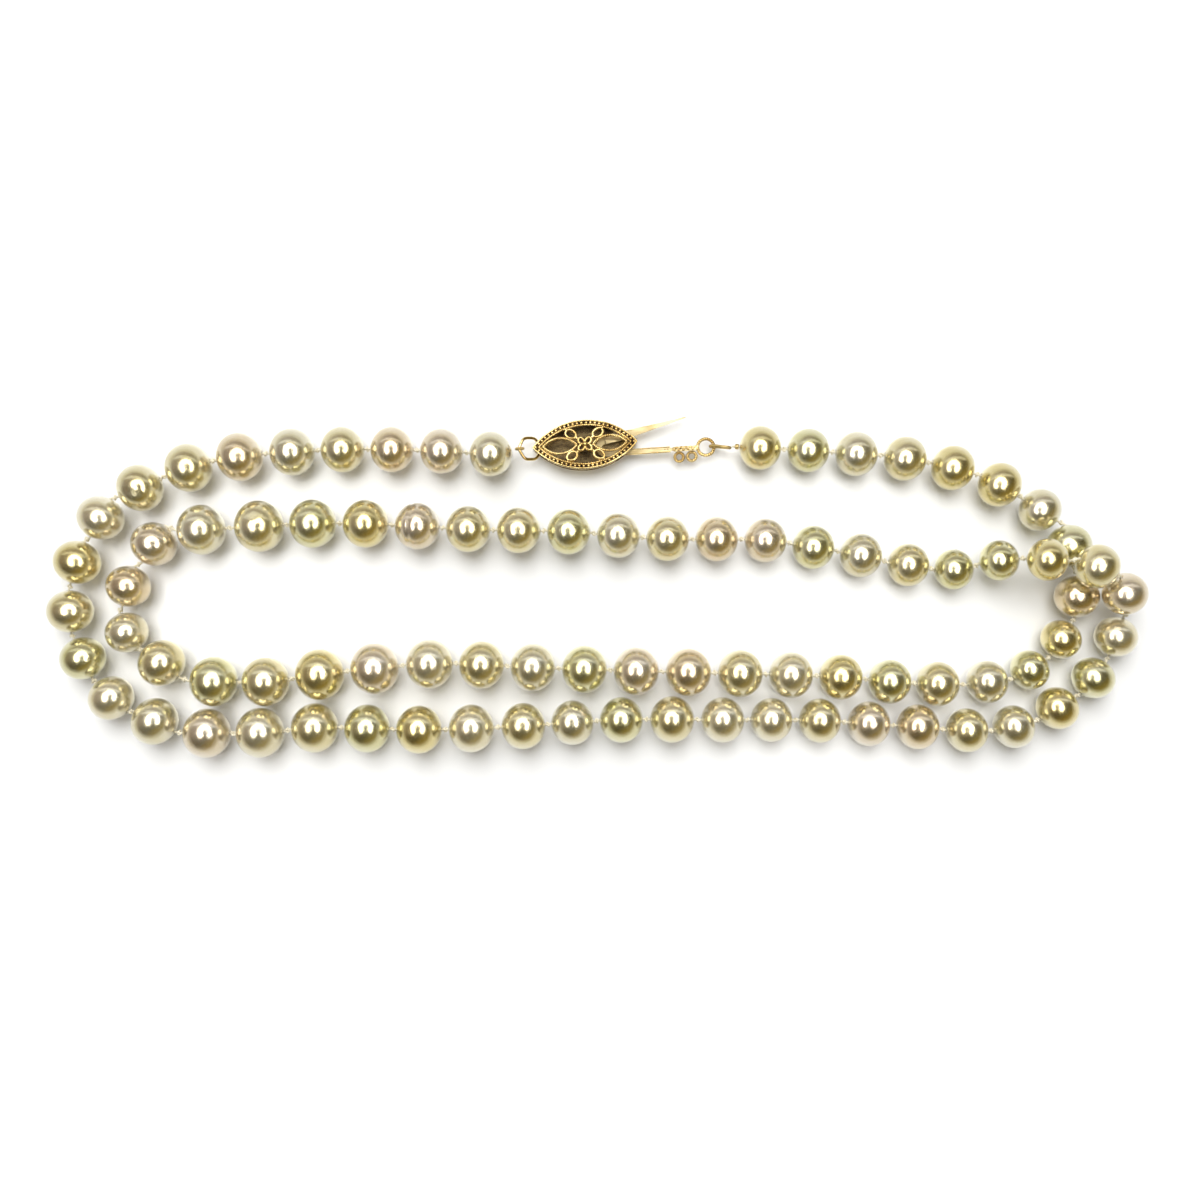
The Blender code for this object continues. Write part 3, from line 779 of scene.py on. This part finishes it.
def build_flower():
    """The cover's middle: a base painted near-black as shade, four petals of wire and a ball."""
    disc = ellipse((0, 0), *FLOWER_BASE, turn=0, steps=32)
    # The base is near-black gold: painted shade under the petals.
    base = flat_piece("flower_base", [disc], COVER_LOW + 0.05, COVER_HIGH, edge=0.08)
    clasp_piece(base, GOLD_PAINTED_SHADE, "clasp_side", ["clasp_flower"])
    petals = []
    for petal in range(4):
        angle = math.radians(45 + 90 * petal)
        centre = (PETAL_MIDDLE[0] * math.cos(angle), PETAL_MIDDLE[1] * math.sin(angle))
        outline = ellipse(centre, *PETAL_SIZE, math.degrees(angle))
        petals.append((raised(outline, PETAL_HEIGHT), True, 1.0))
    clasp_piece(wires("flower_petals", petals, radius=0.16), GOLD, "clasp_side")
    ball = joined_balls("flower_centre", [((0, 0, FLOWER_BALL_HEIGHT), 0)], size=(0.3, 0.3, 0.24))
    clasp_piece(ball, GOLD, "clasp_side")


def build_jump_ring():
    """A softly bumpy ring that leans from the box's post up to the silk loop."""
    tilt = math.radians(JUMP_RING_TILT)
    low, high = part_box("jump_ring")
    middle = CLASP.inverted() @ ((low + high) / 2)
    steps = 60
    points = []
    for step in range(steps):
        angle = 2 * math.pi * step / steps
        reach = JUMP_RING_RADIUS * (1 + JUMP_RING_WAVE * math.cos(6 * angle))
        x = reach * math.cos(angle)
        points.append((middle.x / MM + x * math.cos(tilt), reach * math.sin(angle),
                       middle.z / MM - x * math.sin(tilt)))
    ring = wires("jump_ring_wire", [(points, True, 1.0)], JUMP_RING_WIRE, resolution=4)
    clasp_piece(ring, GOLD, "jump_ring", ["jump_ring"])


def build_hook_rings():
    """The hook's end ring and the two coils beside its tab, each of two twisted wires."""
    for node, radius, wire, pitch in HOOK_RINGS:
        centre = CLASP.inverted() @ box_middle(node) / MM
        circle = raised(ellipse((centre.x, centre.y), radius, radius, turn=0, steps=40), centre.z)
        twisted = wires(node + "_rope", rope(circle, wire * 0.85, pitch), wire, resolution=2)
        clasp_piece(twisted, GOLD, "hook_run", [node])


def build_tab_work():
    """Knobs along the thumb tab, to either side of the hook's line, each turned on from the last."""
    low, high = (CLASP.inverted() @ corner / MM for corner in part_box("hook_thumb_tab"))
    spots = []
    for index in range(TAB_KNOBS):
        along = low.x + (high.x - low.x) * (index + 0.5) / TAB_KNOBS
        side = HOOK_LINE + KNOB_SIDES[index % 2]
        spots.append(((along, side, TAB_TOP), 0.4 * index))
    clasp_piece(joined_balls("tab_knobs", spots, size=(0.19, 0.15, 0.12)), GOLD, "hook_run")


def build_strip_work():
    """The fine wires along the strip's edges, and the two punched dents in it, painted near-black as
    shade.
    """
    borders = []
    for edge in (-1, 1):
        side = HOOK_LINE + edge * STRIP_EDGE
        borders.append(([(along, side, STRIP_TOP) for along in STRIP_BORDER], False, 1.0))
    clasp_piece(wires("strip_border", borders, radius=0.05, resolution=2), GOLD, "hook_run")
    # The dents are near-black gold: painted shade in them.
    marks = [((along, HOOK_LINE, STRIP_TOP), 0) for along in STRIP_MARKS]
    dents = joined_balls("strip_punch_marks", marks, size=(0.07, 0.07, 0.02))
    clasp_piece(dents, GOLD_PAINTED_SHADE, "hook_run")


def build_end_knot():
    """Wire wound round the last knot, after pearl 85."""
    last = PEARLS[-1]
    out = 0.33
    spacing = 0.01
    middle = hole_end(last, 1) + last["along"] * out
    line = [middle + last["along"] * spacing * step for step in range(-12, 13)]
    wound = rope(line, reach=0.2, pitch=0.12, closed=False)
    add(wires("end_knot_wire", wound, radius=0.13, resolution=2), GIMP, "hook_run")


def build_gimp():
    """French wire: a fine wire wound tight round each silk loop."""
    for node, body, reach in GIMP_LOOPS:
        line = gimp_line(node)
        wound = wires(node + "_wire", rope(line, reach, GIMP_PITCH), GIMP_WIRE, resolution=2)
        clasp_piece(wound, GIMP, body, [node])
        core = wires(node + "_core", [(line, True, 1.0)], reach, resolution=2)
        clasp_piece(core, GIMP, body)


def gimp_line(node):
    """The middle line of a loop's plain CAD wire, in the clasp's frame, in millimetres."""
    inverse = CLASP.inverted()
    points = [inverse @ vertex.co / MM for vertex in frame["nodes"][node].data.vertices]
    middle = sum(points, Vector()) / len(points)
    rays = 24
    nearest = math.radians(14)
    line = []
    for index in range(rays):
        angle = 2 * math.pi * index / rays
        ray = Vector((math.cos(angle), 0, math.sin(angle)))
        near = [point for point in points if angle_between(point - middle, ray) < nearest]
        if near:
            reach = sum((point - middle).dot(ray) for point in near) / len(near)
            drift = sum(point.y for point in near) / len(near)
            line.append(Vector((middle.x + ray.x * reach, drift, middle.z + ray.z * reach)))
    return line


def angle_between(vector, ray):
    """The angle between a vector's part in the XZ plane and a ray in that plane."""
    flat = Vector((vector.x, 0, vector.z))
    return flat.angle(ray) if flat.length > 1e-6 else math.pi


# ---------------------------------------------------------------- table, lights, room and camera
def build_table():
    plane = bpy.data.meshes.new("table")
    mesh = bmesh.new()
    bmesh.ops.create_grid(mesh, x_segments=1, y_segments=1, size=TABLE_SIZE * MM)
    mesh.to_mesh(plane)
    mesh.free()
    table = bpy.data.objects.new("table", plane)
    bpy.context.scene.collection.objects.link(table)
    plane.materials.append(table_material())
    table.location.z = -TABLE_GAP * MM


def panel(name, points, colour, strength, place, turn=(0, 0, 0)):
    """A glowing flat shape that only mirrors in the pearls and the gold; turn is in degrees."""
    curve = bpy.data.curves.new(name, "CURVE")
    curve.dimensions = "2D"
    curve.fill_mode = "BOTH"
    spline = curve.splines.new("POLY")
    spline.points.add(len(points) - 1)
    spline.use_cyclic_u = True
    for index, (x, y) in enumerate(points):
        spline.points[index].co = (x * MM, y * MM, 0.0, 1.0)
    shape = bpy.data.objects.new(name, curve)
    bpy.context.scene.collection.objects.link(shape)
    shape.location = Vector(place) * MM
    shape.rotation_euler = [math.radians(angle) for angle in turn]
    curve.materials.append(glow_material(name, colour, strength))
    shape.visible_camera = False
    shape.visible_diffuse = False
    shape.visible_shadow = False


def build_lights():
    """A soft sun for dull surfaces, and two panels that the pearls and the gold mirror."""
    sun = bpy.data.lights.new("soft_key", "SUN")
    sun.energy = 3.2
    sun.angle = math.radians(50)
    sun.color = (0.97, 0.98, 1.0)
    lamp = bpy.data.objects.new("soft_key", sun)
    bpy.context.scene.collection.objects.link(lamp)
    lamp.rotation_euler = (math.radians(-30), math.radians(-6), 0)
    lamp.visible_glossy = False

    start = -50
    end = 230
    outer = arc((0, 0), 96, start, end, 48)
    inner = arc((0, 0), 44, end, start, 32)
    panel("ring_light", outer + inner, (1.0, 0.99, 0.97), 7.0, (-10, 16, 142))
    half_width = 420
    height = 260
    window = [(-half_width, 0), (half_width, 0), (half_width, height), (-half_width, height)]
    panel("north_panel", window, (0.96, 0.97, 1.0), 1.1, (0, 190, 130), (58, 0, 0))


def build_room():
    """A dim room to mirror, with its own plain colours for dull surfaces and for the camera."""
    world = bpy.data.worlds.new("room")
    world.use_nodes = True
    bpy.context.scene.world = world
    tree = world.node_tree
    room = tree.nodes["Background"]
    direction = tree.nodes.new("ShaderNodeTexCoord")
    lean = tree.nodes.new("ShaderNodeVectorMath")
    lean.operation = "DOT_PRODUCT"
    lean.inputs[1].default_value = ROOM_LEAN
    tree.links.new(direction.outputs["Generated"], lean.inputs[0])
    spread = range_node(tree, lean.outputs["Value"], 0.0, 1.0)
    spread.inputs["From Min"].default_value = -ROOM_REACH
    spread.inputs["From Max"].default_value = ROOM_REACH
    shade = ramp_node(tree, spread.outputs["Result"], ROOM_SHADES)
    parts = tree.nodes.new("ShaderNodeSeparateXYZ")
    tree.links.new(direction.outputs["Generated"], parts.inputs["Vector"])
    low_down = range_node(tree, parts.outputs["Z"], 1.0, 0.0)
    low_down.inputs["From Min"].default_value = WALL_HEIGHTS[0]
    low_down.inputs["From Max"].default_value = WALL_HEIGHTS[1]
    walls = tree.nodes.new("ShaderNodeMix")
    walls.data_type = "RGBA"
    tree.links.new(low_down.outputs["Result"], walls.inputs["Factor"])
    tree.links.new(shade.outputs["Color"], walls.inputs["A"])
    walls.inputs["B"].default_value = (*ROOM_WALLS, 1.0)
    tree.links.new(walls.outputs["Result"], room.inputs["Color"])
    path = tree.nodes.new("ShaderNodeLightPath")
    shown = room.outputs["Background"]
    for ray, colour in (("Is Diffuse Ray", ROOM_FILL), ("Is Camera Ray", ROOM_SEEN)):
        plain = tree.nodes.new("ShaderNodeBackground")
        plain.inputs["Color"].default_value = (*colour, 1.0)
        choose = tree.nodes.new("ShaderNodeMixShader")
        tree.links.new(path.outputs[ray], choose.inputs["Fac"])
        tree.links.new(shown, choose.inputs[1])
        tree.links.new(plain.outputs["Background"], choose.inputs[2])
        shown = choose.outputs["Shader"]
    tree.links.new(shown, tree.nodes["World Output"].inputs["Surface"])


def build_camera():
    """Straight above the table; a new camera already looks straight down."""
    lens = bpy.data.cameras.new("camera")
    away = CAMERA_PLACE[2] - PEARL_MIDDLE
    lens.angle = 2 * math.atan(CAMERA_WIDTH / 2 / away)
    lens.clip_start = 0.01
    camera = bpy.data.objects.new("camera", lens)
    camera.location = Vector(CAMERA_PLACE) * MM
    bpy.context.scene.collection.objects.link(camera)
    bpy.context.scene.camera = camera
    bpy.context.scene.view_settings.view_transform = "Standard"


def finish_cad_nodes():
    """Materials for the solids that stay as they are."""
    flat = ("hook_strip", "hook_spring_arm", "hook_thumb_tab")
    for name, node in frame["nodes"].items():
        if node.hide_render:
            continue
        node.data.materials.clear()
        # The back plate takes the gold with painted shade on its upward faces.
        plain = PLATE_WITH_PAINTED_SHADE if name == "clasp_back_plate" else GOLD
        node.data.materials.append(GOLD_FLAT if name in flat else plain)


build_camera()
build_table()
build_lights()
build_room()
build_pearls()
build_silk()
build_pulled_silk()
build_cover_rim()
build_openwork()
build_flower()
build_jump_ring()
build_hook_rings()
build_tab_work()
build_strip_work()
build_end_knot()
build_gimp()
finish_cad_nodes()
